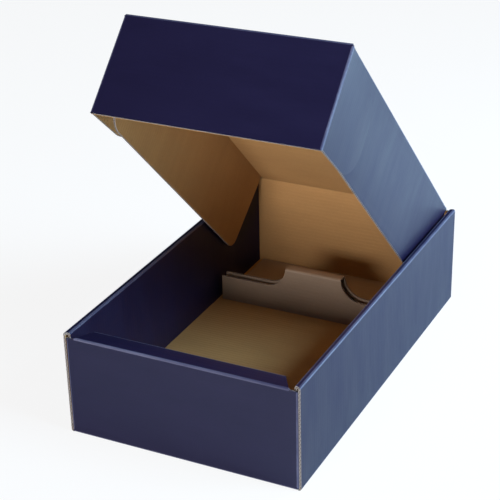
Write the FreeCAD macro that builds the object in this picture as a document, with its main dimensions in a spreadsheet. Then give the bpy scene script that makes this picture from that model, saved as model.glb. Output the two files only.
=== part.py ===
import FreeCAD, Part
import math
import os
import Sketcher

# Bottle shipping box, a flat mailer box folded from one sheet of thin corrugated board.
# The tray is the bottom with its four walls. The side walls roll over a rim into a second ply that
# locks into slots in the floor, with the corner tabs of the end walls held between the plies. The
# front wall rolls over a ledge and makes a hollow wall. The lid hinges on the back wall's top edge
# and drops inside the tray's walls. A loose folded cradle stands in the tray, with rounded notches.
# Origin: middle of the underside. X across, Y from the front wall (-Y) to the back wall, Z up.

# Driving sizes, in millimetres and degrees: name, value, meaning.
SIZES = [
    ("box_width", 190.0, "outside width over the side walls"),
    ("box_length", 320.0, "outside length over the end walls"),
    ("box_height", 85.0, "height of the side wall rims above the table"),
    ("board", 1.6, "thickness of the corrugated board"),
    ("ply_gap", 0.1, "play between plies that lie on each other"),
    ("fit_gap", 0.3, "play between the lid and the tray"),
    ("hinge_gap", 0.3, "slit along the lid's crease"),
    ("fold_radius", 1.5, "outside rounding of a fold"),
    ("front_drop", 3.0, "how far the front ledge lies below the rims"),
    ("front_depth", 16.0, "thickness of the hollow front wall"),
    ("ledge_relief_crease", 4.0, "end relief of the front ledge at its outer crease"),
    ("ledge_relief_inside", 13.0, "end relief of the front ledge at its inner crease"),
    ("tab_length", 62.0, "length of a corner tab"),
    ("tab_taper", 8.0, "slope of a corner tab's upper and lower edge"),
    ("tab_lift", 1.0, "play of a corner tab above the floor"),
    ("lock_width", 36.0, "width of a side wall's locking tab"),
    ("lock_offset", 82.0, "place of a side locking tab from the middle"),
    ("front_lock_width", 28.0, "width of a front locking tab"),
    ("front_lock_offset", 42.0, "place of a front locking tab from the middle"),
    ("lock_recess", 0.3, "how far a locking tab ends above the table"),
    ("lid_depth", 80.0, "depth of the lid's front wall"),
    ("flap_depth", 76.0, "depth of the lid's side flaps"),
    ("flap_rear", 5.0, "start of a side flap from the hinge"),
    ("flap_rear_slope", 9.0, "slope of a side flap's rear edge"),
    ("flap_front_slope", 30.0, "slope of a side flap's front edge"),
    ("flap_front_radius", 16.0, "rounding of a side flap's front lower corner"),
    ("flap_rear_radius", 11.0, "rounding of a side flap's rear lower corner"),
    ("ear_length", 70.0, "length of an ear from the lid's front fold"),
    ("ear_taper", 7.0, "slope of an ear's upper and lower edge"),
    ("ear_play", 1.0, "play of an ear below the lid's top and above its free edge"),
    ("ear_radius", 30.0, "rounding of an ear's corners"),
    ("hinge_relief", 1.5, "side relief of the lid's hinge strip"),
    ("open_angle", 44.5, "angle of the lid, open from closed"),
    ("cradle_place", 75.0, "front face of the cradle, behind the middle"),
    ("cradle_height", 41.0, "height of the cradle above the floor"),
    ("cradle_depth", 10.0, "thickness of the hollow cradle"),
    ("notch_offset", 44.0, "middle of a notch from the box's middle"),
    ("notch_radius", 18.5, "rounding of a notch, and its depth below the cradle's top"),
]

doc = FreeCAD.newDocument("bottle_box")
sheet = doc.addObject("Spreadsheet::Sheet", "size")
for row, (alias, value, meaning) in enumerate(SIZES, start=1):
    sheet.set(f"A{row}", meaning)
    sheet.set(f"B{row}", str(value))
    sheet.setAlias(f"B{row}", alias)
doc.recompute()

# Places that several folds share, each worked out from the driving sizes or from the places before it.
PLACES = [
    ("side", "size.box_width / 2", "outside of the side walls"),
    ("end", "size.box_length / 2", "outside of the end walls"),
    ("tab_face", "side - size.board - size.ply_gap", "outside of the corner tabs"),
    ("ply_back", "tab_face - size.board - size.ply_gap", "hidden face of a side wall's inner ply"),
    ("ply_face", "ply_back - size.board", "face of a side wall's inner ply"),
    ("rim_under", "size.box_height - size.board", "underside of the rims"),
    ("back_top", "rim_under - size.hinge_gap", "top edge of the back wall"),
    ("ply_foot", "size.board + size.ply_gap", "lower edge of the inner plies"),
    ("ply_end", "end - size.board - size.ply_gap", "ends of the side walls' inner plies"),
    ("ledge_top", "size.box_height - size.front_drop", "top of the front ledge"),
    ("ledge_under", "ledge_top - size.board", "underside of the front ledge"),
    ("front_face", "end - size.front_depth", "face of the front wall's inner ply"),
    ("ledge_crease", "ply_face - size.ledge_relief_crease", "end of the ledge at its outer crease"),
    ("ledge_inside", "ply_face - size.ledge_relief_inside", "end of the ledge at its inner crease"),
    ("tab_low", "size.board + size.tab_lift", "lower edge of a corner tab at its crease"),
    ("ear_face", "ply_face - size.fit_gap", "outside of the ears and of the lid's front wall"),
    ("flap_face", "ear_face - size.board - size.ply_gap", "outside of the lid's side flaps"),
    ("strip_side", "flap_face - size.hinge_relief", "side of the lid's hinge strip"),
    ("lid_top", "size.board / 2", "outside of the lid above its hinge line"),
    ("lid_reach", "2 * end - size.board / 2 - size.front_depth - size.fit_gap", "front of the lid"),
    ("flap_low", "lid_top - size.flap_depth", "lower edge of a side flap"),
    ("flap_fold", "-lid_reach + size.board + size.ply_gap", "start of a side flap at the lid's front"),
    ("ear_tip", "-lid_reach + size.ear_length", "rear edge of an ear"),
    ("ear_high", "lid_top - size.ear_play", "upper edge of an ear at its crease"),
    ("ear_low", "lid_top - size.lid_depth + size.ear_play", "lower edge of an ear at its crease"),
    ("cradle_side", "flap_face - size.board - size.fit_gap", "side of the cradle"),
    ("cradle_rear", "size.cradle_place + size.cradle_depth", "rear face of the cradle"),
    ("cradle_top", "size.board + size.cradle_height", "top of the cradle"),
    ("cradle_heel", "end - size.board - size.fit_gap", "rear end of the cradle's foot"),
    ("notch_low", "cradle_top - size.notch_radius", "bottom of the notches and top of the low ends"),
]
place = doc.addObject("App::VarSet", "place")
for name, formula, meaning in PLACES:
    place.addProperty("App::PropertyFloat", name, "Places", meaning)
    place.setExpression(name, formula)
doc.recompute()
# A fold is rounded by no more than the board allows.
FOLD_RADIUS = "min(size.fold_radius; 0.95 * size.board)"
ON_AXIS = None


def sketch_on(body, role, name, offset=None):
    """Sketch on one of a body's origin planes, at an offset along the plane's normal."""
    plane = next(item for item in body.Origin.OriginFeatures if item.Role == role)
    sketch = body.newObject("Sketcher::SketchObject", name)
    sketch.AttachmentSupport = [(plane, "")]
    sketch.MapMode = "FlatFace"
    if offset is not None:
        sketch.setExpression("AttachmentOffset.Base.z", offset)
    return sketch


def pin(sketch, edge, point, kind, formula):
    """Tie one coordinate of an edge's end or centre to a formula, or to the sketch axis."""
    if formula is ON_AXIS:
        axis = -2 if kind == "DistanceX" else -1
        sketch.addConstraint(Sketcher.Constraint("PointOnObject", edge, point, axis))
        return
    spot = sketch.getPoint(edge, point)
    now = spot.x if kind == "DistanceX" else spot.y
    index = sketch.addConstraint(Sketcher.Constraint(kind, -1, 1, edge, point, now))
    sketch.setExpression(f"Constraints[{index}]", formula)


def outline(sketch, corners):
    """Closed run of straight edges through corners given as pairs of formulas."""
    first = sketch.GeometryCount
    count = len(corners)
    rough = []
    for i in range(count):
        turn = 2 * math.pi * i / count
        rough.append(FreeCAD.Vector(100 * math.cos(turn) + 7, 100 * math.sin(turn) + 5, 0))
    for i in range(count):
        sketch.addGeometry(Part.LineSegment(rough[i], rough[(i + 1) % count]))
    for i in range(count):
        sketch.addConstraint(Sketcher.Constraint("Coincident", first + i, 2, first + (i + 1) % count, 1))
    for i, (across, up) in enumerate(corners):
        pin(sketch, first + i, 1, "DistanceX", across)
        pin(sketch, first + i, 1, "DistanceY", up)


def rectangle(sketch, left, right, low, high):
    """Closed rectangle between four formulas."""
    outline(sketch, [(left, low), (right, low), (right, high), (left, high)])


def circle(sketch, across, up, diameter):
    """Circle whose centre and diameter are formulas."""
    edge = sketch.addGeometry(Part.Circle(FreeCAD.Vector(50, 50, 0), FreeCAD.Vector(0, 0, 1), 20))
    pin(sketch, edge, 3, "DistanceX", across)
    pin(sketch, edge, 3, "DistanceY", up)
    index = sketch.addConstraint(Sketcher.Constraint("Diameter", edge, 40))
    sketch.setExpression(f"Constraints[{index}]", diameter)


def pad(body, sketch, name, length, side="One side"):
    """Board in the sketched outline."""
    feature = body.newObject("PartDesign::Pad", name)
    feature.Profile = sketch
    feature.SideType = side
    feature.setExpression("Length", length)
    doc.recompute()
    return feature


def cut(body, sketch, name, length, side="One side"):
    """Opening in the sketched outline, with a test that it removes board."""
    before = body.Shape.Volume
    feature = body.newObject("PartDesign::Pocket", name)
    feature.Profile = sketch
    feature.SideType = side
    feature.Reversed = side == "One side"
    feature.setExpression("Length", length)
    doc.recompute()
    if body.Shape.Volume >= before:
        raise RuntimeError(f"{name} removes nothing")
    return feature


def mirror(body, feature, name):
    """The same feature on the other side of the box."""
    plane = next(item for item in body.Origin.OriginFeatures if item.Role == "YZ_Plane")
    copy = body.newObject("PartDesign::Mirrored", name)
    copy.Originals = [feature]
    copy.MirrorPlane = (plane, [""])
    body.Tip = copy
    doc.recompute()
    return copy


def edges_at(feature, along, spots):
    """Names of the straight edges along one axis at any of the spots.

    A spot is the pair of the edge's other two coordinates, in axis order. Both sides of X count.
    """
    others = [axis for axis in "xyz" if axis != along]
    names = []
    for index, edge in enumerate(feature.Shape.Edges, start=1):
        start, finish = edge.firstVertex().Point, edge.lastVertex().Point
        if abs(abs(getattr(start - finish, along)) - edge.Length) > 1e-6:
            continue
        found = [abs(start.x) if axis == "x" else getattr(start, axis) for axis in others]
        if any(abs(found[0] - a) < 1e-4 and abs(found[1] - b) < 1e-4 for a, b in spots):
            names.append(f"Edge{index}")
    return names


def round_edges(body, feature, name, edges, radius):
    """Rounding, with a test that its edges were found."""
    if not edges:
        raise RuntimeError(f"{name} has no edges")
    fillet = body.newObject("PartDesign::Fillet", name)
    fillet.Base = (feature, edges)
    fillet.setExpression("Radius", radius)
    doc.recompute()
    return fillet


def make_tray():
    """Bottom with its four walls."""
    body = doc.addObject("PartDesign::Body", "tray")
    floor = sketch_on(body, "XY_Plane", "floor_outline")
    rectangle(floor, "-place.side", "place.side", "-place.end", "place.end")
    pad(body, floor, "floor", "size.board")
    walls = end_walls(body)
    side_walls(body)
    front_ply(body)
    locked = lock_tabs(body)
    top, bottom = float(sheet.get("box_height")), 0
    folds = edges_at(locked, "y", [(place.side, top), (place.ply_face, top), (place.side, bottom)])
    folds += edges_at(locked, "x", [(-place.end, bottom), (place.end, bottom)])
    folds += edges_at(locked, "x", [(-place.end, place.ledge_top), (-place.front_face, place.ledge_top)])
    round_edges(body, locked, "folds", folds, FOLD_RADIUS)
    return body


def end_walls(body):
    """Outer front wall and back wall, each with a corner tab at both ends."""
    for name, inner, outer, top in (
        ("front_wall", "-place.end + size.board", "-place.end", "place.ledge_top"),
        ("back_wall", "place.end - size.board", "place.end", "place.back_top"),
    ):
        section = sketch_on(body, "YZ_Plane", f"{name}_section")
        rectangle(section, inner, outer, "size.board", top)
        pad(body, section, name, "2 * place.tab_face", "Symmetric")
    tabs = sketch_on(body, "YZ_Plane", "corner_tab_outlines", "place.tab_face - size.board")
    for sign in ("-", ""):
        tip = f"{sign}(place.end - size.tab_length)"
        outline(tabs, [
            (f"{sign}place.end", "place.tab_low"),
            (tip, "place.tab_low + size.tab_taper"),
            (tip, "place.ledge_under - size.tab_taper"),
            (f"{sign}place.end", "place.ledge_under"),
        ])
    right = pad(body, tabs, "corner_tabs_right", "size.board")
    both = mirror(body, right, "corner_tabs_left")
    corners = edges_at(both, "z", [(place.tab_face, -place.end), (place.tab_face, place.end)])
    return round_edges(body, both, "corner_folds", corners, FOLD_RADIUS)


def side_walls(body):
    """Outer panels, the rims that they roll over, and the inner plies below the rims."""
    outer = sketch_on(body, "XZ_Plane", "side_wall_sections")
    inner = sketch_on(body, "XZ_Plane", "inner_ply_sections")
    for sign in ("", "-"):
        outline(outer, [
            (f"{sign}place.side", "size.board"),
            (f"{sign}place.side", "size.box_height"),
            (f"{sign}place.ply_face", "size.box_height"),
            (f"{sign}place.ply_face", "place.rim_under"),
            (f"{sign}(place.side - size.board)", "place.rim_under"),
            (f"{sign}(place.side - size.board)", "size.board"),
        ])
        rectangle(inner, f"{sign}place.ply_face", f"{sign}place.ply_back", "place.ply_foot", "place.rim_under")
    pad(body, outer, "side_walls", "size.box_length", "Symmetric")
    pad(body, inner, "inner_plies", "2 * place.ply_end", "Symmetric")


def front_ply(body):
    """Ledge behind the front wall's crease, and the inner ply that hangs from it."""
    ledge = sketch_on(body, "XY_Plane", "ledge_outline", "place.ledge_under")
    outline(ledge, [
        ("-place.ledge_crease", "-place.end + size.board"),
        ("place.ledge_crease", "-place.end + size.board"),
        ("place.ledge_inside", "-place.front_face"),
        ("-place.ledge_inside", "-place.front_face"),
    ])
    pad(body, ledge, "front_ledge", "size.board")
    inner = sketch_on(body, "YZ_Plane", "front_ply_section")
    rectangle(inner, "-place.front_face - size.board", "-place.front_face", "place.ply_foot", "place.ledge_under")
    pad(body, inner, "front_ply", "2 * place.ledge_inside", "Symmetric")


def lock_tabs(body):
    """Slots through the floor, and the tabs of the inner plies that stand in them."""
    slots = sketch_on(body, "XY_Plane", "lock_slots")
    tabs = sketch_on(body, "XY_Plane", "lock_tab_outlines", "size.lock_recess")
    for sketch, play in ((slots, "size.ply_gap"), (tabs, "0 * size.ply_gap")):
        inside, outside = f"(place.ply_face - {play})", f"(place.ply_back + {play})"
        rear, front = f"-place.front_face - size.board - {play}", f"-place.front_face + {play}"
        half, front_half = f"(size.lock_width / 2 + {play})", f"(size.front_lock_width / 2 + {play})"
        for across in ("", "-"):
            for along in ("", "-"):
                middle = f"{along}size.lock_offset"
                rectangle(
                    sketch, f"{across}{inside}", f"{across}{outside}", f"{middle} - {half}", f"{middle} + {half}"
                )
            middle = f"{across}size.front_lock_offset"
            rectangle(sketch, f"{middle} - {front_half}", f"{middle} + {front_half}", rear, front)
    cut(body, slots, "slots", "size.board")
    return pad(body, tabs, "lock_tabs", "place.ply_foot - size.lock_recess")


def make_lid():
    """Lid with its front wall, ears and side flaps, drawn closed with the hinge line on the X axis."""
    body = doc.addObject("PartDesign::Body", "lid")
    top = sketch_on(body, "XY_Plane", "top_outline")
    rectangle(top, "-place.flap_face", "place.flap_face", "-place.lid_reach", "-size.flap_rear")
    pad(body, top, "top_panel", "size.board", "Symmetric")
    strip = sketch_on(body, "XY_Plane", "hinge_strip_outline")
    rectangle(strip, "-place.strip_side", "place.strip_side", "-size.flap_rear", ON_AXIS)
    pad(body, strip, "hinge_strip", "size.board", "Symmetric")
    nose = sketch_on(body, "YZ_Plane", "hinge_nose_section")
    circle(nose, ON_AXIS, ON_AXIS, "size.board")
    pad(body, nose, "hinge_nose", "2 * place.strip_side", "Symmetric")
    front = sketch_on(body, "YZ_Plane", "lid_front_section")
    rectangle(
        front, "-place.lid_reach", "-place.lid_reach + size.board", "place.lid_top - size.lid_depth", "place.lid_top"
    )
    pad(body, front, "lid_front", "2 * place.ear_face", "Symmetric")
    flaps = side_flaps(body)
    ears = front_ears(body)
    folds = edges_at(ears, "x", [(-place.lid_reach, place.lid_top)])
    folds += edges_at(ears, "y", [(place.flap_face, place.lid_top)])
    folds += edges_at(ears, "z", [(place.ear_face, -place.lid_reach)])
    round_edges(body, ears, "lid_folds", folds, FOLD_RADIUS)

    body.Placement = FreeCAD.Placement(FreeCAD.Vector(0, 0, 0), FreeCAD.Rotation(FreeCAD.Vector(-1, 0, 0), 1))
    body.setExpression("Placement.Base.y", "place.end - size.board / 2")
    body.setExpression("Placement.Base.z", "size.box_height - size.board / 2")
    body.setExpression("Placement.Rotation.Angle", "size.open_angle")
    return body


def side_flaps(body):
    """Side flaps below the top panel's edges, with sloped ends and rounded lower corners."""
    flap = sketch_on(body, "YZ_Plane", "flap_outline", "place.flap_face - size.board")
    outline(flap, [
        ("-size.flap_rear", "place.lid_top"),
        ("-size.flap_rear - size.flap_rear_slope", "place.flap_low"),
        ("place.flap_fold + size.flap_front_slope", "place.flap_low"),
        ("place.flap_fold", "place.lid_top"),
    ])
    right = pad(body, flap, "flap_right", "size.board")
    both = mirror(body, right, "flap_left")
    front = place.flap_fold + float(sheet.get("flap_front_slope"))
    rear = -float(sheet.get("flap_rear")) - float(sheet.get("flap_rear_slope"))
    rounded = round_edges(
        body, both, "flap_front_corners", edges_at(both, "x", [(front, place.flap_low)]), "size.flap_front_radius"
    )
    return round_edges(
        body, rounded, "flap_rear_corners", edges_at(rounded, "x", [(rear, place.flap_low)]), "size.flap_rear_radius"
    )


def front_ears(body):
    """Ears that run back from the lid's front wall, outside the side flaps."""
    taper = float(sheet.get("ear_taper"))
    ear = sketch_on(body, "YZ_Plane", "ear_outline", "place.ear_face - size.board")
    outline(ear, [
        ("-place.lid_reach", "place.ear_high"),
        ("place.ear_tip", "place.ear_high - size.ear_taper"),
        ("place.ear_tip", "place.ear_low + size.ear_taper"),
        ("-place.lid_reach", "place.ear_low"),
    ])
    right = pad(body, ear, "ear_right", "size.board")
    both = mirror(body, right, "ear_left")
    tips = edges_at(both, "x", [(place.ear_tip, place.ear_high - taper), (place.ear_tip, place.ear_low + taper)])
    return round_edges(body, both, "ear_corners", tips, "size.ear_radius")


def make_cradle():
    """Hollow cross wall with a raised middle between two notches, and a foot to the back wall."""
    body = doc.addObject("PartDesign::Body", "cradle")
    section = sketch_on(body, "YZ_Plane", "cradle_section")
    outline(section, [
        ("size.cradle_place", "size.board"),
        ("size.cradle_place", "place.cradle_top"),
        ("place.cradle_rear", "place.cradle_top"),
        ("place.cradle_rear", "2 * size.board"),
        ("place.cradle_heel", "2 * size.board"),
        ("place.cradle_heel", "size.board"),
        ("place.cradle_rear - size.board", "size.board"),
        ("place.cradle_rear - size.board", "place.cradle_top - size.board"),
        ("size.cradle_place + size.board", "place.cradle_top - size.board"),
        ("size.cradle_place + size.board", "size.board"),
    ])
    strip = pad(body, section, "cradle_strip", "2 * place.cradle_side", "Symmetric")
    board, front = float(sheet.get("board")), float(sheet.get("cradle_place"))
    folds = edges_at(strip, "x", [
        (front, place.cradle_top), (place.cradle_rear, place.cradle_top), (place.cradle_rear - board, board),
    ])
    round_edges(body, strip, "cradle_folds", folds, FOLD_RADIUS)
    middle = "-(size.cradle_place + size.cradle_depth / 2)"
    notches = sketch_on(body, "XZ_Plane", "notch_outlines", middle)
    ends = sketch_on(body, "XZ_Plane", "low_end_outlines", middle)
    for sign in ("", "-"):
        circle(notches, f"{sign}size.notch_offset", "place.cradle_top", "2 * size.notch_radius")
        rectangle(
            ends, f"{sign}size.notch_offset", f"{sign}(place.cradle_side + size.board)", "place.notch_low",
            "place.cradle_top + size.board",
        )
    cut(body, notches, "notches", "size.cradle_depth + size.board", "Symmetric")
    cut(body, ends, "low_ends", "size.cradle_depth + size.board", "Symmetric")
    return body


bodies = [make_tray(), make_lid(), make_cradle()]
doc.recompute()

for item in doc.Objects:
    if "Invalid" in item.State or "Error" in item.State:
        raise RuntimeError(f"{item.Name} failed: {item.State}")
for body in bodies:
    if body.Shape.isNull() or not body.Shape.isValid() or len(body.Shape.Solids) != 1:
        raise RuntimeError(f"{body.Name} is not one valid solid")

os.makedirs("parts", exist_ok=True)
for body in bodies:
    body.Shape.exportStep(f"parts/{body.Label}.step")
    box = body.Shape.BoundBox
    print(f"{body.Label}: {body.Shape.Volume:.0f} mm3, x {box.XMin:.2f} {box.XMax:.2f}, "
          f"y {box.YMin:.2f} {box.YMax:.2f}, z {box.ZMin:.2f} {box.ZMax:.2f}")
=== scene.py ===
import math

import bmesh
import bpy
from mathutils import Matrix, Vector


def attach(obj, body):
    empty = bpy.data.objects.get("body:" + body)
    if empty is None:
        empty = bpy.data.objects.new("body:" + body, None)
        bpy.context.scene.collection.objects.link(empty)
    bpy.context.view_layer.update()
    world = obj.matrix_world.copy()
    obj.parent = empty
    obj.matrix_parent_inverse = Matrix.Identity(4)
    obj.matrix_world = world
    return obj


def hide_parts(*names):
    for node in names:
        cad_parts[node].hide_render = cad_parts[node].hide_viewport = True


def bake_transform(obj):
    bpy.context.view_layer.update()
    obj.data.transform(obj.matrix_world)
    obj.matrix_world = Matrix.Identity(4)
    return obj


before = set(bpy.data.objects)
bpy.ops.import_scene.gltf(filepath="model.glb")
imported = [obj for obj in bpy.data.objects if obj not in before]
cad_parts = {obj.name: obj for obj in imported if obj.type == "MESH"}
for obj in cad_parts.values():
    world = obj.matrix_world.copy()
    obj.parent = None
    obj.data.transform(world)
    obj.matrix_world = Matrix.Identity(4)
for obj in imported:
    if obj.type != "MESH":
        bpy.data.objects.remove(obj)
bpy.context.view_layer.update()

scene = bpy.context.scene
scene.view_settings.view_transform = "Standard"

# Camera. It stands to the front right of the box and above it, at the photograph's angle, with a
# long lens. The angles and the distance come from a fit to the outlines of tray and lid.
VIEW_TURN = 26.554
VIEW_RISE = 25.946
VIEW_ROLL = -1.235
VIEW_DISTANCE = 1.1866
VIEW_AIM = (-0.02095, 0, 0.09511)
bpy.ops.object.camera_add()
camera = bpy.context.object
camera.name = "camera"
camera.data.lens = 107.75
camera.data.clip_end = 30
camera.matrix_world = (
    Matrix.Translation(VIEW_AIM)
    @ Matrix.Rotation(math.radians(VIEW_TURN), 4, "Z")
    @ Matrix.Rotation(math.radians(90 - VIEW_RISE), 4, "X")
    @ Matrix.Translation((0, 0, VIEW_DISTANCE))
    @ Matrix.Rotation(math.radians(VIEW_ROLL), 4, "Z")
)
scene.camera = camera


# Floor and light. A pale seamless floor, a low neutral light in front that reaches into the box, a
# weak one above, and cool ones to the right. The camera sees the floor white with a soft shadow.
FLOOR_GLOW = 0.88
LIGHT_AIM = Vector((0, 0, 0.1))


def new_material(name):
    """A node material with only its output: the material, its tree and the output node."""
    material = bpy.data.materials.new(name)
    material.use_nodes = True
    tree = material.node_tree
    tree.nodes.clear()
    output = tree.nodes.new("ShaderNodeOutputMaterial")
    return material, tree, output


def node(tree, kind, **values):
    """A new node with settings and input values by name."""
    made = tree.nodes.new("ShaderNode" + kind)
    for key, value in values.items():
        if key in made.inputs:
            made.inputs[key].default_value = value
        else:
            setattr(made, key, value)
    return made


def join(tree, source, target):
    """Join an output to an input; each is (node, socket name or number)."""
    tree.links.new(source[0].outputs[source[1]], target[0].inputs[target[1]])


bpy.ops.mesh.primitive_plane_add(size=12)
floor = bpy.context.object
floor.name = "floor"
paper, tree, output = new_material("studio_floor")
grey = node(tree, "BsdfDiffuse", Color=(0.80, 0.80, 0.80, 1))
bright = node(tree, "BsdfDiffuse", Color=(0.95, 0.95, 0.95, 1))
glow = node(tree, "Emission", Color=(1, 1, 1, 1), Strength=1.0)
path = node(tree, "LightPath")
seen = node(tree, "MixShader", Fac=FLOOR_GLOW)
mix = node(tree, "MixShader")
join(tree, (bright, 0), (seen, 1))
join(tree, (glow, 0), (seen, 2))
join(tree, (path, "Is Camera Ray"), (mix, 0))
join(tree, (grey, 0), (mix, 1))
join(tree, (seen, 0), (mix, 2))
join(tree, (mix, 0), (output, "Surface"))
floor.data.materials.append(paper)

world = bpy.data.worlds.new("studio")
scene.world = world
world.use_nodes = True
tree = world.node_tree
tree.nodes.clear()
output = tree.nodes.new("ShaderNodeOutputWorld")
dim = node(tree, "Background", Color=(0.65, 0.72, 1.0, 1), Strength=0.06)
white = node(tree, "Background", Color=(1, 1, 1, 1), Strength=1.0)
path = node(tree, "LightPath")
mix = node(tree, "MixShader")
join(tree, (path, "Is Camera Ray"), (mix, 0))
join(tree, (dim, 0), (mix, 1))
join(tree, (white, 0), (mix, 2))
join(tree, (mix, 0), (output, "Surface"))


def softbox(name, place, size, watts, colour):
    """A square area light at a place, turned to the middle of the box."""
    bpy.ops.object.light_add(type="AREA", location=place)
    lamp = bpy.context.object
    lamp.name = name
    lamp.data.size = size
    lamp.data.energy = watts
    lamp.data.color = colour
    lamp.rotation_euler = (LIGHT_AIM - Vector(place)).to_track_quat("-Z", "Y").to_euler()


softbox("front_far", (-0.05, -2.1, 0.36), 0.8, 43, (1.0, 0.95, 0.95))
softbox("haze_left", (-0.64, -0.80, 1.45), 1.1, 0.8, (1.0, 0.97, 0.97))
softbox("side_right", (0.55, 0.50, 0.30), 0.35, 5.8, (0.55, 0.80, 1.0))
softbox("key_right", (1.9, 0.1, 1.35), 1.3, 85, (0.55, 0.80, 1.0))


# Tray. One sheet of thin corrugated board, printed and film-laminated outside, brown inside. Its
# side walls roll over a rim and hold the corner tabs between two plies, its front wall rolls over
# a ledge, and the inner plies lock into the floor. Places are mid-board ones, in millimetres.
BOARD = 1.6
FOLD = 0.9
FOLD_ANGLE = 35
CRUSH = 0.42
CRUSH_ANGLE = 60
SMOOTH_ANGLE = 40
FOLD_SLOT = 3
RAW_SLOTS = (2, 5)


def start_sheet(name, left, right, front, rear, height):
    """A flat rectangle of board at mid thickness, in millimetres, in edit mode."""
    bpy.ops.object.select_all(action="DESELECT")
    bpy.ops.mesh.primitive_plane_add(size=1)
    sheet = bpy.context.object
    sheet.name = name
    bpy.ops.object.mode_set(mode="EDIT")
    bpy.ops.transform.resize(value=(right - left, rear - front, 1))
    bpy.ops.transform.translate(value=((left + right) / 2, (front + rear) / 2, height))
    return sheet


def middle_of(item):
    """Middle of a vertex, edge or face."""
    if isinstance(item, bmesh.types.BMVert):
        return item.co.copy()
    return sum((vert.co for vert in item.verts), Vector()) / len(item.verts)


def pick(kind, test):
    """Select the vertices, edges or faces whose middle passes the test."""
    bpy.ops.mesh.select_mode(type=kind)
    bpy.ops.mesh.select_all(action="DESELECT")
    mesh = bmesh.from_edit_mesh(bpy.context.object.data)
    items = {"VERT": mesh.verts, "EDGE": mesh.edges, "FACE": mesh.faces}[kind]
    found = [item for item in items if test(middle_of(item))]
    if not found:
        raise RuntimeError("nothing picked")
    for item in found:
        item.select_set(True)
    mesh.select_flush_mode()
    bmesh.update_edit_mesh(bpy.context.object.data)


def fold_out(test, move):
    """Extrude the picked free edges by a vector: a new panel."""
    pick("EDGE", test)
    bpy.ops.mesh.extrude_region_move(TRANSFORM_OT_translate={"value": move})


def score(test, places, across):
    """Split the picked faces by planes across an axis."""
    for spot in places:
        pick("FACE", test)
        normal = [1.0 if axis == across else 0.0 for axis in "xyz"]
        point = [spot if axis == across else 0.0 for axis in "xyz"]
        bpy.ops.mesh.bisect(plane_co=point, plane_no=normal)


def shift(test, move):
    """Move the picked vertices."""
    pick("VERT", test)
    bpy.ops.transform.translate(value=move)


def stretch(test, factor):
    """Scale the picked vertices about the box's middle."""
    pick("VERT", test)
    bpy.ops.transform.resize(value=factor, center_override=(0, 0, 0))


def near(value, goal):
    """Whether a place is the one meant."""
    return abs(value - goal) < 0.02


def both_sides(low, high):
    """Two places and their mirror images, in rising order."""
    return (-high, -low, low, high)


def lay_out_print(sheet, test, outward):
    """Turn the printed side outward, lay the flute direction into a UV map, leave edit mode."""
    bpy.ops.mesh.select_all(action="SELECT")
    bpy.ops.mesh.normals_make_consistent(inside=False)
    mesh = bmesh.from_edit_mesh(sheet.data)
    faces = [face for face in mesh.faces if test(face.calc_center_median())]
    if faces[0].normal.dot(Vector(outward)) < 0:
        bpy.ops.mesh.flip_normals()
        mesh = bmesh.from_edit_mesh(sheet.data)
    layer = mesh.loops.layers.uv.verify()
    for face in mesh.faces:
        for loop in face.loops:
            spot = loop.vert.co
            if abs(face.normal.y) > 0.7:
                loop[layer].uv = (spot.x / 1000, spot.z / 1000)
            elif abs(face.normal.x) > 0.7:
                loop[layer].uv = (spot.z / 1000, spot.y / 1000)
            else:
                loop[layer].uv = (spot.x / 1000, spot.y / 1000)
    bmesh.update_edit_mesh(sheet.data)
    bpy.ops.object.mode_set(mode="OBJECT")


def apply_modifier(piece, kind, **values):
    """Add a modifier with its settings and apply it."""
    bpy.ops.object.select_all(action="DESELECT")
    piece.select_set(True)
    bpy.context.view_layer.objects.active = piece
    modifier = piece.modifiers.new(kind.lower(), kind)
    for key, value in values.items():
        setattr(modifier, key, value)
    bpy.ops.object.modifier_apply(modifier=modifier.name)


def thicken(sheet):
    """Round the folds and give the sheet its thickness: print outside, brown inside, raw edges."""
    apply_modifier(
        sheet, "BEVEL", width=FOLD, segments=4, limit_method="ANGLE",
        angle_limit=math.radians(FOLD_ANGLE), material=FOLD_SLOT,
    )
    apply_modifier(
        sheet, "SOLIDIFY", thickness=BOARD, offset=0, use_even_offset=True,
        use_quality_normals=True, material_offset=1, material_offset_rim=2,
    )


def crush_edges(sheet):
    """Round the rims of the cut edges, where the cutting die presses the board together."""
    apply_modifier(
        sheet, "BEVEL", width=CRUSH, segments=2, limit_method="ANGLE",
        angle_limit=math.radians(CRUSH_ANGLE), profile=0.6,
    )


def cut_out(sheet, cutters):
    """Take the cutters out of the board; the new edges keep the cutters' raw-edge material."""
    for cutter in cutters:
        apply_modifier(sheet, "BOOLEAN", operation="DIFFERENCE", object=cutter, solver="EXACT")
        bpy.data.objects.remove(cutter, do_unlink=True)


def edge_lines(sheet):
    """A second UV map on the raw edges: millimetres along the edge, 0 to 1 across the board."""
    mesh = bmesh.new()
    mesh.from_mesh(sheet.data)
    layer = mesh.loops.layers.uv.new("edge")
    for face in mesh.faces:
        if face.material_index not in RAW_SLOTS:
            continue
        longest = max(face.edges, key=lambda edge: edge.calc_length())
        along = (longest.verts[1].co - longest.verts[0].co).normalized()
        if max(along, key=abs) < 0:
            along.negate()
        across = face.normal.cross(along)
        heights = [loop.vert.co.dot(across) for loop in face.loops]
        low, high = min(heights), max(heights)
        for loop, height in zip(face.loops, heights):
            loop[layer].uv = (loop.vert.co.dot(along), (height - low) / max(high - low, 1e-6))
    mesh.to_mesh(sheet.data)
    mesh.free()


def to_metres(sheet):
    """Millimetres to metres, with the place kept in the mesh."""
    sheet.data.transform(Matrix.Scale(0.001, 4))
    bpy.ops.object.select_all(action="DESELECT")
    sheet.select_set(True)
    bpy.context.view_layer.objects.active = sheet
    bpy.ops.object.shade_smooth_by_angle(angle=math.radians(SMOOTH_ANGLE))


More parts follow.
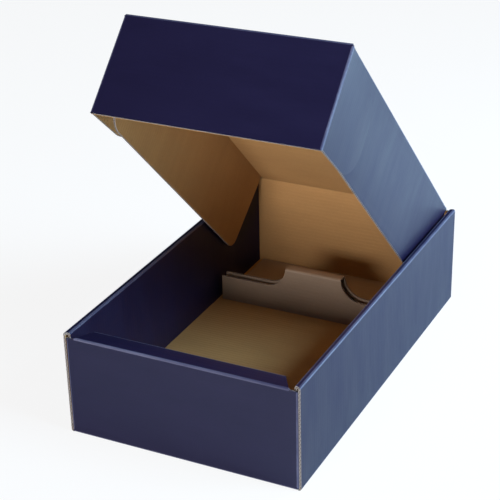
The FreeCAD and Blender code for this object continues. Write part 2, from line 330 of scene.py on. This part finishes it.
# Floor, with the side walls' outer plies, rims and inner plies.
SIDE = 94.2
INNER_SIDE = 90.8
END = 159.2
RIM_END = 160
INNER_END = 158.3
LOW = 0.8
RIM = 84.2
PLY_FOOT = 1.7
TAB_SIDE = 92.5
tray = start_sheet("tray_board", -SIDE, SIDE, -END, END, LOW)
score(lambda p: True, (-TAB_SIDE, TAB_SIDE), "x")
fold_out(lambda p: near(abs(p.x), SIDE), (0, 0, RIM - LOW))
fold_out(lambda p: near(abs(p.x), SIDE) and near(p.z, RIM), (0, 0, 0))
bpy.ops.transform.resize(value=(INNER_SIDE / SIDE, 1, 1), center_override=(0, 0, 0))
fold_out(lambda p: near(abs(p.x), INNER_SIDE) and near(p.z, RIM), (0, 0, PLY_FOOT - RIM))
stretch(lambda p: near(abs(p.x), SIDE) and near(p.z, RIM), (1, RIM_END / END, 1))
stretch(lambda p: near(abs(p.x), INNER_SIDE), (1, INNER_END / END, 1))

# Front and back walls with their tapered corner tabs.
FRONT_TOP = 81.2
BACK_HEIGHT = 82.3
TAB_REACH = 61.2
TAB_LOW = 2.6
TAB_HIGH = 80.2
TAB_TAPER = 8
fold_out(lambda p: near(p.x, 0) and near(p.y, -END), (0, 0, FRONT_TOP - LOW))
fold_out(lambda p: near(p.x, 0) and near(p.y, END), (0, 0, BACK_HEIGHT))
score(lambda p: near(abs(p.y), END) and p.z > TAB_LOW, (TAB_LOW, TAB_HIGH), "z")
for end, reach in ((-END, TAB_REACH), (END, -TAB_REACH)):
    fold_out(
        lambda p: near(abs(p.x), TAB_SIDE) and near(p.y, end) and TAB_LOW < p.z < TAB_HIGH,
        (0, reach, 0),
    )
shift(lambda p: near(abs(p.y), END - TAB_REACH) and near(p.z, TAB_LOW), (0, 0, TAB_TAPER))
shift(lambda p: near(abs(p.y), END - TAB_REACH) and near(p.z, TAB_HIGH), (0, 0, -TAB_TAPER))

# Ledge and inner ply of the hollow front wall.
LEDGE = 14.4
LEDGE_HALF = 86
LEDGE_REAR_HALF = 77
ledge_rear = LEDGE - END
score(lambda p: near(p.y, -END), (-LEDGE_HALF, LEDGE_HALF), "x")
fold_out(
    lambda p: near(p.x, 0) and near(p.y, -END) and near(p.z, FRONT_TOP), (0, LEDGE, 0)
)
stretch(lambda p: near(p.y, ledge_rear), (LEDGE_REAR_HALF / LEDGE_HALF, 1, 1))
fold_out(
    lambda p: near(p.y, ledge_rear) and near(p.z, FRONT_TOP), (0, 0, PLY_FOOT - FRONT_TOP)
)

# Locks of the inner plies, and the floor's slots for them.
LOCK_DEPTH = 1.4
FRONT_LOCK = (28, 56)
SIDE_LOCK = (64, 100)
SLOT_HALF = 0.9
SLOT_PLAY = 0.1
front_middle = sum(FRONT_LOCK) / 2
side_middle = sum(SIDE_LOCK) / 2
score(lambda p: near(p.y, ledge_rear) and p.z < FRONT_TOP, both_sides(*FRONT_LOCK), "x")
score(lambda p: near(abs(p.x), INNER_SIDE) and p.z < RIM, both_sides(*SIDE_LOCK), "y")
fold_out(
    lambda p: near(p.z, PLY_FOOT) and (near(abs(p.x), front_middle) or near(abs(p.y), side_middle)),
    (0, 0, -LOCK_DEPTH),
)
score(
    lambda p: near(p.z, LOW) and abs(p.x) < TAB_SIDE,
    both_sides(INNER_SIDE - SLOT_HALF, INNER_SIDE + SLOT_HALF), "x",
)
score(
    lambda p: near(p.z, LOW) and near(abs(p.x), INNER_SIDE),
    both_sides(SIDE_LOCK[0] - SLOT_PLAY, SIDE_LOCK[1] + SLOT_PLAY), "y",
)
score(
    lambda p: near(p.z, LOW) and abs(p.x) < INNER_SIDE - SLOT_HALF,
    (ledge_rear - SLOT_HALF, ledge_rear + SLOT_HALF), "y",
)
score(
    lambda p: near(p.z, LOW) and near(p.y, ledge_rear),
    both_sides(FRONT_LOCK[0] - SLOT_PLAY, FRONT_LOCK[1] + SLOT_PLAY), "x",
)
pick(
    "FACE",
    lambda p: near(p.z, LOW) and near(abs(p.x), INNER_SIDE) and near(abs(p.y), side_middle),
)
bpy.ops.mesh.delete(type="FACE")
pick(
    "FACE",
    lambda p: near(p.z, LOW) and near(abs(p.x), front_middle) and near(p.y, ledge_rear),
)
bpy.ops.mesh.delete(type="FACE")
lay_out_print(tray, lambda p: near(p.z, LOW), (0, 0, -1))


# Finishes of the board. Outside: dark blue print under a satin film, with the flutes showing as
# faint lines and the film much paler on the folds, partly its own whitening at the crease and
# partly a painted highlight. Inside: brown kraft paper with loose fibres, darker on the folds as
# painted shade. Raw edges: two liners with the wavy ply between them, one wave each 3.3 mm, and
# the hollows between them painted dark as the shade inside the flutes.
FLUTE_PITCH = 3.3


def flute_group():
    """Faint lines of the flutes, from the board's own layout: a height and a mask."""
    group = bpy.data.node_groups.new("flute_lines", "ShaderNodeTree")
    group.interface.new_socket("Pitch", in_out="INPUT", socket_type="NodeSocketFloat")
    group.interface.new_socket("Height", in_out="OUTPUT", socket_type="NodeSocketFloat")
    group.interface.new_socket("Mottle", in_out="OUTPUT", socket_type="NodeSocketFloat")
    inside = group.nodes.new("NodeGroupInput")
    outside = group.nodes.new("NodeGroupOutput")
    layout = node(group, "UVMap", uv_map="UVMap")
    split = node(group, "SeparateXYZ")
    join(group, (layout, "UV"), (split, 0))
    wander = node(group, "TexNoise", Scale=34.0, Detail=3.0)
    join(group, (layout, "UV"), (wander, "Vector"))
    sway = node(group, "MapRange", **{"To Min": -0.0006, "To Max": 0.0006})
    join(group, (wander, "Fac"), (sway, "Value"))
    moved = node(group, "Math", operation="ADD")
    join(group, (split, "Y"), (moved, 0))
    join(group, (sway, 0), (moved, 1))
    turns = node(group, "Math", operation="DIVIDE")
    join(group, (moved, 0), (turns, 0))
    join(group, (inside, "Pitch"), (turns, 1))
    angle = node(group, "Math", operation="MULTIPLY")
    angle.inputs[1].default_value = 2 * math.pi
    join(group, (turns, 0), (angle, 0))
    wave = node(group, "Math", operation="COSINE")
    join(group, (angle, 0), (wave, 0))
    join(group, (wave, 0), (outside, "Height"))
    cloud = node(group, "TexNoise", Scale=26.0, Detail=7.0, Roughness=0.68)
    squeeze = node(group, "Mapping")
    squeeze.inputs["Scale"].default_value = (0.35, 1.6, 1.0)
    join(group, (layout, "UV"), (squeeze, "Vector"))
    join(group, (squeeze, 0), (cloud, "Vector"))
    join(group, (cloud, "Fac"), (outside, "Mottle"))
    return group


FLUTES = flute_group()


def printed_board(name, colour, pale, roughness, bump):
    """Dark blue print under satin film."""
    material, tree, output = new_material(name)
    shader = node(tree, "BsdfPrincipled")
    shader.inputs["IOR"].default_value = 1.38
    flutes = node(tree, "Group", node_tree=FLUTES)
    flutes.inputs["Pitch"].default_value = FLUTE_PITCH / 1000
    place = node(tree, "TexCoord")
    tint = node(tree, "Mix", data_type="RGBA")
    tint.inputs["A"].default_value = (*colour, 1)
    tint.inputs["B"].default_value = (*pale, 1)
    spread = node(tree, "MapRange", **{"From Min": 0.35, "From Max": 0.75})
    join(tree, (flutes, "Mottle"), (spread, "Value"))
    join(tree, (spread, 0), (tint, "Factor"))
    tree.links.new(tint.outputs["Result"], shader.inputs["Base Color"])
    speck = node(tree, "TexNoise", Scale=900.0, Detail=2.0)
    join(tree, (place, "Object"), (speck, "Vector"))
    sheen = {"To Min": roughness - 0.13, "To Max": roughness + 0.15}
    rough = node(tree, "MapRange", **sheen)
    join(tree, (flutes, "Mottle"), (rough, "Value"))
    join(tree, (rough, 0), (shader, "Roughness"))
    grain = node(tree, "Math", operation="MULTIPLY_ADD")
    grain.inputs[1].default_value = 0.35
    join(tree, (speck, "Fac"), (grain, 0))
    join(tree, (flutes, "Height"), (grain, 2))
    relief = node(tree, "Bump", Strength=bump, Distance=0.00012)
    join(tree, (grain, 0), (relief, "Height"))
    join(tree, (relief, 0), (shader, "Normal"))
    join(tree, (shader, 0), (output, "Surface"))
    return material


def kraft(name, dark, light, fibre):
    """Brown liner paper."""
    material, tree, output = new_material(name)
    shader = node(tree, "BsdfPrincipled", Roughness=0.86)
    shader.inputs["IOR"].default_value = 1.35
    flutes = node(tree, "Group", node_tree=FLUTES)
    flutes.inputs["Pitch"].default_value = FLUTE_PITCH / 1000
    layout = node(tree, "UVMap", uv_map="UVMap")
    pull = node(tree, "Mapping")
    pull.inputs["Scale"].default_value = (0.22, 1.0, 1.0)
    join(tree, (layout, "UV"), (pull, "Vector"))
    threads = node(tree, "TexNoise", Scale=1500.0, Detail=4.0, Roughness=0.65)
    join(tree, (pull, 0), (threads, "Vector"))
    tone = node(tree, "Mix", data_type="RGBA")
    tone.inputs["A"].default_value = (*dark, 1)
    tone.inputs["B"].default_value = (*light, 1)
    blend = node(tree, "Math", operation="MULTIPLY_ADD")
    blend.inputs[1].default_value = fibre
    blend.use_clamp = True
    join(tree, (threads, "Fac"), (blend, 0))
    lift = node(tree, "MapRange", **{"To Min": -0.15, "To Max": 0.65})
    join(tree, (flutes, "Mottle"), (lift, "Value"))
    join(tree, (lift, 0), (blend, 2))
    join(tree, (blend, 0), (tone, "Factor"))
    tree.links.new(tone.outputs["Result"], shader.inputs["Base Color"])
    grain = node(tree, "Math", operation="MULTIPLY_ADD")
    grain.inputs[1].default_value = 0.5
    join(tree, (threads, "Fac"), (grain, 0))
    join(tree, (flutes, "Height"), (grain, 2))
    relief = node(tree, "Bump", Strength=0.35, Distance=0.00012)
    join(tree, (grain, 0), (relief, "Height"))
    join(tree, (relief, 0), (shader, "Normal"))
    join(tree, (shader, 0), (output, "Surface"))
    return material


def raw_edge(name, liner, hollow):
    """Cut edge: pale liners and wave, and dark hollows between them: painted shade inside the
    flutes.
    """
    material, tree, output = new_material(name)
    shader = node(tree, "BsdfPrincipled", Roughness=0.9)
    layout = node(tree, "UVMap", uv_map="edge")
    split = node(tree, "SeparateXYZ")
    join(tree, (layout, "UV"), (split, 0))
    angle = node(tree, "Math", operation="MULTIPLY")
    angle.inputs[1].default_value = 2 * math.pi / FLUTE_PITCH
    join(tree, (split, "X"), (angle, 0))
    wave = node(tree, "Math", operation="SINE")
    join(tree, (angle, 0), (wave, 0))
    centre = node(tree, "Math", operation="MULTIPLY_ADD")
    centre.inputs[1].default_value = 0.36
    centre.inputs[2].default_value = 0.5
    join(tree, (wave, 0), (centre, 0))
    gap = node(tree, "Math", operation="SUBTRACT")
    join(tree, (split, "Y"), (gap, 0))
    join(tree, (centre, 0), (gap, 1))
    size = node(tree, "Math", operation="ABSOLUTE")
    join(tree, (gap, 0), (size, 0))
    soft_rim = {"From Min": 0.12, "From Max": 0.22, "To Min": 1.0, "To Max": 0.0}
    on_wave = node(tree, "MapRange", **soft_rim)
    join(tree, (size, 0), (on_wave, "Value"))
    middle = node(tree, "Math", operation="SUBTRACT")
    middle.inputs[1].default_value = 0.5
    join(tree, (split, "Y"), (middle, 0))
    out = node(tree, "Math", operation="ABSOLUTE")
    join(tree, (middle, 0), (out, 0))
    on_liner = node(tree, "MapRange", **{"From Min": 0.33, "From Max": 0.39})
    join(tree, (out, 0), (on_liner, "Value"))
    paper_mask = node(tree, "Math", operation="MAXIMUM")
    join(tree, (on_wave, 0), (paper_mask, 0))
    join(tree, (on_liner, 0), (paper_mask, 1))
    # The hollows' dark colour is painted shade inside the flutes.
    tone = node(tree, "Mix", data_type="RGBA")
    tone.inputs["A"].default_value = (*hollow, 1)
    tone.inputs["B"].default_value = (*liner, 1)
    join(tree, (paper_mask, 0), (tone, "Factor"))
    tree.links.new(tone.outputs["Result"], shader.inputs["Base Color"])
    relief = node(tree, "Bump", Strength=0.6, Distance=0.0004)
    join(tree, (paper_mask, 0), (relief, "Height"))
    join(tree, (relief, 0), (shader, "Normal"))
    join(tree, (shader, 0), (output, "Surface"))
    return material


def give_finishes(sheet, outside, inside, outside_fold, inside_fold):
    """The finishes of both sides, of their folds and of the raw edges, in the slots' order."""
    for finish in (outside, inside, edge, outside_fold, inside_fold, edge):
        sheet.data.materials.append(finish)


film = printed_board("film_navy", (0.0060, 0.0042, 0.0265), (0.0076, 0.0054, 0.033), 0.45, 0.06)
# The folds' film is much paler: partly the film's own whitening at the crease, partly a painted
# highlight along each fold.
film_fold_whitened_and_lit = printed_board(
    "film_navy_fold_whitened_and_lit", (0.045, 0.045, 0.095), (0.115, 0.115, 0.175), 0.34, 0.04
)
brown = kraft("kraft_liner", (0.345, 0.184, 0.070), (0.55, 0.322, 0.124), 0.6)
# The kraft on the folds is a darker copy of the liner: painted shade in the creases.
brown_fold_shaded = kraft("kraft_liner_fold_shaded", (0.288, 0.152, 0.058), (0.46, 0.268, 0.102), 0.6)
edge = raw_edge("raw_board_edge", (0.34, 0.305, 0.28), (0.075, 0.062, 0.055))
give_finishes(tray, film, brown, film_fold_whitened_and_lit, brown_fold_shaded)
thicken(tray)
crush_edges(tray)
edge_lines(tray)
to_metres(tray)
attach(tray, "tray_body")
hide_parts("tray")

# Lid. It belongs to the same sheet as the tray and turns about the crease on the back wall's top
# edge. Its front wall has two round ears that lie outside the side flaps and hold them square.
# Places are those of the lid lying level, with the crease at the origin.
OPEN = 44.5
LID_LENGTH = 302.1
FLAP_SIDE = 87.2
FLAP_FRONT = 300.4
FLAP_REAR = 2.6
FLAP_DROP = 75.2
FLAP_FRONT_LOW = 271.2
FLAP_REAR_LOW = 14
FLAP_FRONT_ROUND = 10.9
FLAP_REAR_ROUND = 9.6
HINGE_INSET = 0.7
EAR_SIDE = 88.9
EAR_REACH = 69.2
EAR_HIGH = 1.6
EAR_LOW = 78.6
EAR_TAPER_HIGH = 5.6
EAR_TAPER_LOW = 3.4
EAR_ROUND = 27.2
FRONT_DROP = 79.2
lid = start_sheet("lid_board", -FLAP_SIDE, FLAP_SIDE, -LID_LENGTH, 0, 0)
score(lambda p: True, (-FLAP_FRONT, -FLAP_REAR), "y")
fold_out(
    lambda p: near(abs(p.x), FLAP_SIDE) and -FLAP_FRONT < p.y < -FLAP_REAR, (0, 0, -FLAP_DROP)
)
shift(
    lambda p: near(p.z, -FLAP_DROP) and near(p.y, -FLAP_REAR), (0, FLAP_REAR - FLAP_REAR_LOW, 0)
)
shift(
    lambda p: near(p.z, -FLAP_DROP) and near(p.y, -FLAP_FRONT), (0, FLAP_FRONT - FLAP_FRONT_LOW, 0)
)
pick("VERT", lambda p: near(p.z, -FLAP_DROP) and near(p.y, -FLAP_FRONT_LOW))
bpy.ops.mesh.bevel(affect="VERTICES", offset=FLAP_FRONT_ROUND, segments=8)
pick("VERT", lambda p: near(p.z, -FLAP_DROP) and near(p.y, -FLAP_REAR_LOW))
bpy.ops.mesh.bevel(affect="VERTICES", offset=FLAP_REAR_ROUND, segments=8)
shift(lambda p: near(p.y, 0) and near(p.x, FLAP_SIDE), (-HINGE_INSET, 0, 0))
shift(lambda p: near(p.y, 0) and near(p.x, -FLAP_SIDE), (HINGE_INSET, 0, 0))
stretch(lambda p: near(p.y, -LID_LENGTH), (EAR_SIDE / FLAP_SIDE, 1, 1))
fold_out(lambda p: near(p.y, -LID_LENGTH), (0, 0, -FRONT_DROP))
score(lambda p: near(p.y, -LID_LENGTH), (-EAR_HIGH, -EAR_LOW), "z")
fold_out(
    lambda p: near(abs(p.x), EAR_SIDE) and near(p.y, -LID_LENGTH) and -EAR_LOW < p.z < -EAR_HIGH,
    (0, EAR_REACH, 0),
)
ear_end = EAR_REACH - LID_LENGTH
shift(lambda p: near(p.y, ear_end) and near(p.z, -EAR_HIGH), (0, 0, -EAR_TAPER_HIGH))
shift(lambda p: near(p.y, ear_end) and near(p.z, -EAR_LOW), (0, 0, EAR_TAPER_LOW))
pick("VERT", lambda p: near(p.y, ear_end))
bpy.ops.mesh.bevel(affect="VERTICES", offset=EAR_ROUND, segments=12)
lay_out_print(lid, lambda p: near(p.z, 0), (0, 0, 1))
give_finishes(lid, film, brown, film_fold_whitened_and_lit, brown_fold_shaded)
thicken(lid)
crush_edges(lid)
edge_lines(lid)
lid.rotation_euler = (math.radians(-OPEN), 0, 0)
lid.location = (0, END, RIM)
bpy.ops.object.transform_apply(location=True, rotation=True, scale=True)
to_metres(lid)
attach(lid, "lid_body")
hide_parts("lid")

# Crease of the lid. The board of the back wall's top edge runs on into the lid; the crease is
# drawn bent to the lid's opening, between tray and lid.
CREASE_HALF = 87.4
CREASE_LEG = 2
CREASE_FOLD = 1.2
CREASE_BOARD = 1.5
rise = math.radians(OPEN)
crease = start_sheet("lid_crease", -CREASE_HALF, CREASE_HALF, END - CREASE_LEG, END, RIM)
shift(
    lambda p: near(p.y, END - CREASE_LEG),
    (0, CREASE_LEG - CREASE_LEG * math.cos(rise), CREASE_LEG * math.sin(rise)),
)
fold_out(lambda p: near(p.y, END), (0, 0, -CREASE_LEG))
lay_out_print(crease, lambda p: p.z < RIM, (0, 1, 0))
give_finishes(crease, film, brown, film_fold_whitened_and_lit, brown_fold_shaded)
apply_modifier(
    crease, "BEVEL", width=CREASE_FOLD, segments=8, limit_method="ANGLE",
    angle_limit=math.radians(FOLD_ANGLE), material=FOLD_SLOT,
)
apply_modifier(
    crease, "SOLIDIFY", thickness=CREASE_BOARD, offset=0, use_even_offset=True,
    material_offset=1, material_offset_rim=2,
)
edge_lines(crease)
to_metres(crease)
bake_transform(crease)

# Cradle. A loose strip of brown board folded into a hollow cross wall. Its middle stands up between
# two rounded notches, its ends are low, and a foot on the floor reaches to the back wall.
CRADLE_HALF = 86.1
CRADLE_FRONT = 75.8
CRADLE_REAR = 84.2
CRADLE_TOP = 41.8
FOOT_HEIGHT = 2.4
FOOT_END = 158.1
FRONT_PLY = 40.2
NOTCH_OFFSET = 44
NOTCH_RADIUS = 18.5
NOTCH_HEIGHT = 42.6
CUTTER_DEPTH = 14
CUTTER_REACH = 50
cradle = start_sheet(
    "cradle_board", -CRADLE_HALF, CRADLE_HALF, CRADLE_REAR, FOOT_END, FOOT_HEIGHT
)
fold_out(lambda p: near(p.y, CRADLE_REAR), (0, 0, CRADLE_TOP - FOOT_HEIGHT))
fold_out(
    lambda p: near(p.y, CRADLE_REAR) and near(p.z, CRADLE_TOP), (0, CRADLE_FRONT - CRADLE_REAR, 0)
)
fold_out(lambda p: near(p.y, CRADLE_FRONT), (0, 0, -FRONT_PLY))
lay_out_print(cradle, lambda p: near(p.z, CRADLE_TOP), (0, 0, 1))
pale = kraft("kraft_cradle", (0.30, 0.215, 0.15), (0.46, 0.35, 0.25), 0.5)
# The cradle's folds are a lighter copy of its board: a painted highlight on the folded edges.
pale_fold_lit = kraft("kraft_cradle_fold_lit", (0.36, 0.27, 0.19), (0.52, 0.41, 0.31), 0.5)
give_finishes(cradle, pale, pale, pale_fold_lit, pale_fold_lit)
thicken(cradle)
cutters = []
for side in (-1, 1):
    bpy.ops.mesh.primitive_cylinder_add(
        vertices=96, radius=NOTCH_RADIUS, depth=CUTTER_DEPTH,
        location=(side * NOTCH_OFFSET, (CRADLE_FRONT + CRADLE_REAR) / 2, NOTCH_HEIGHT),
        rotation=(math.pi / 2, 0, 0),
    )
    bpy.ops.object.transform_apply(location=True, rotation=True, scale=True)
    bpy.context.object.data.materials.append(edge)
    cutters.append(bpy.context.object)
    bpy.ops.object.mode_set(mode="EDIT")
    shift(lambda p: side * p.x > NOTCH_OFFSET + 0.1, (side * CUTTER_REACH, 0, 0))
    bpy.ops.object.mode_set(mode="OBJECT")
cut_out(cradle, cutters)
edge_lines(cradle)
to_metres(cradle)
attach(cradle, "tray_body")
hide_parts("cradle")
